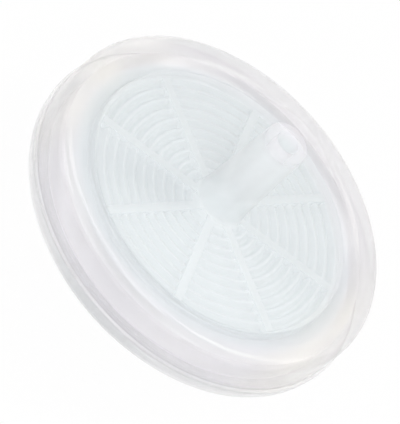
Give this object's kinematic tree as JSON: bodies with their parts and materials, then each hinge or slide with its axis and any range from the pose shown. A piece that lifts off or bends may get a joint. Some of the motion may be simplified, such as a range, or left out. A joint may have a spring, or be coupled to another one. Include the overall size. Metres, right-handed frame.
{
  "type": "syringe filter",
  "caption": "Round disc filter for a syringe: translucent moulded housing round a membrane, slip nozzle on one side, lugged socket port on the other.",
  "frame": {"origin": "centre of the inlet port's mouth face, on the flow axis", "axes": "+Z along the flow axis from the inlet port to the outlet nozzle, +X through one lug of the inlet port"},
  "size_m": [0.0332, 0.0332, 0.024],
  "materials": {
    "natural_polypropylene": "satin, milky translucent",
    "membrane": "matt white"
  },
  "bodies": {
    "root": {"outlet_housing": "natural_polypropylene", "inlet_housing": "natural_polypropylene", "filter_membrane": "membrane"}
  },
  "joints": []
}
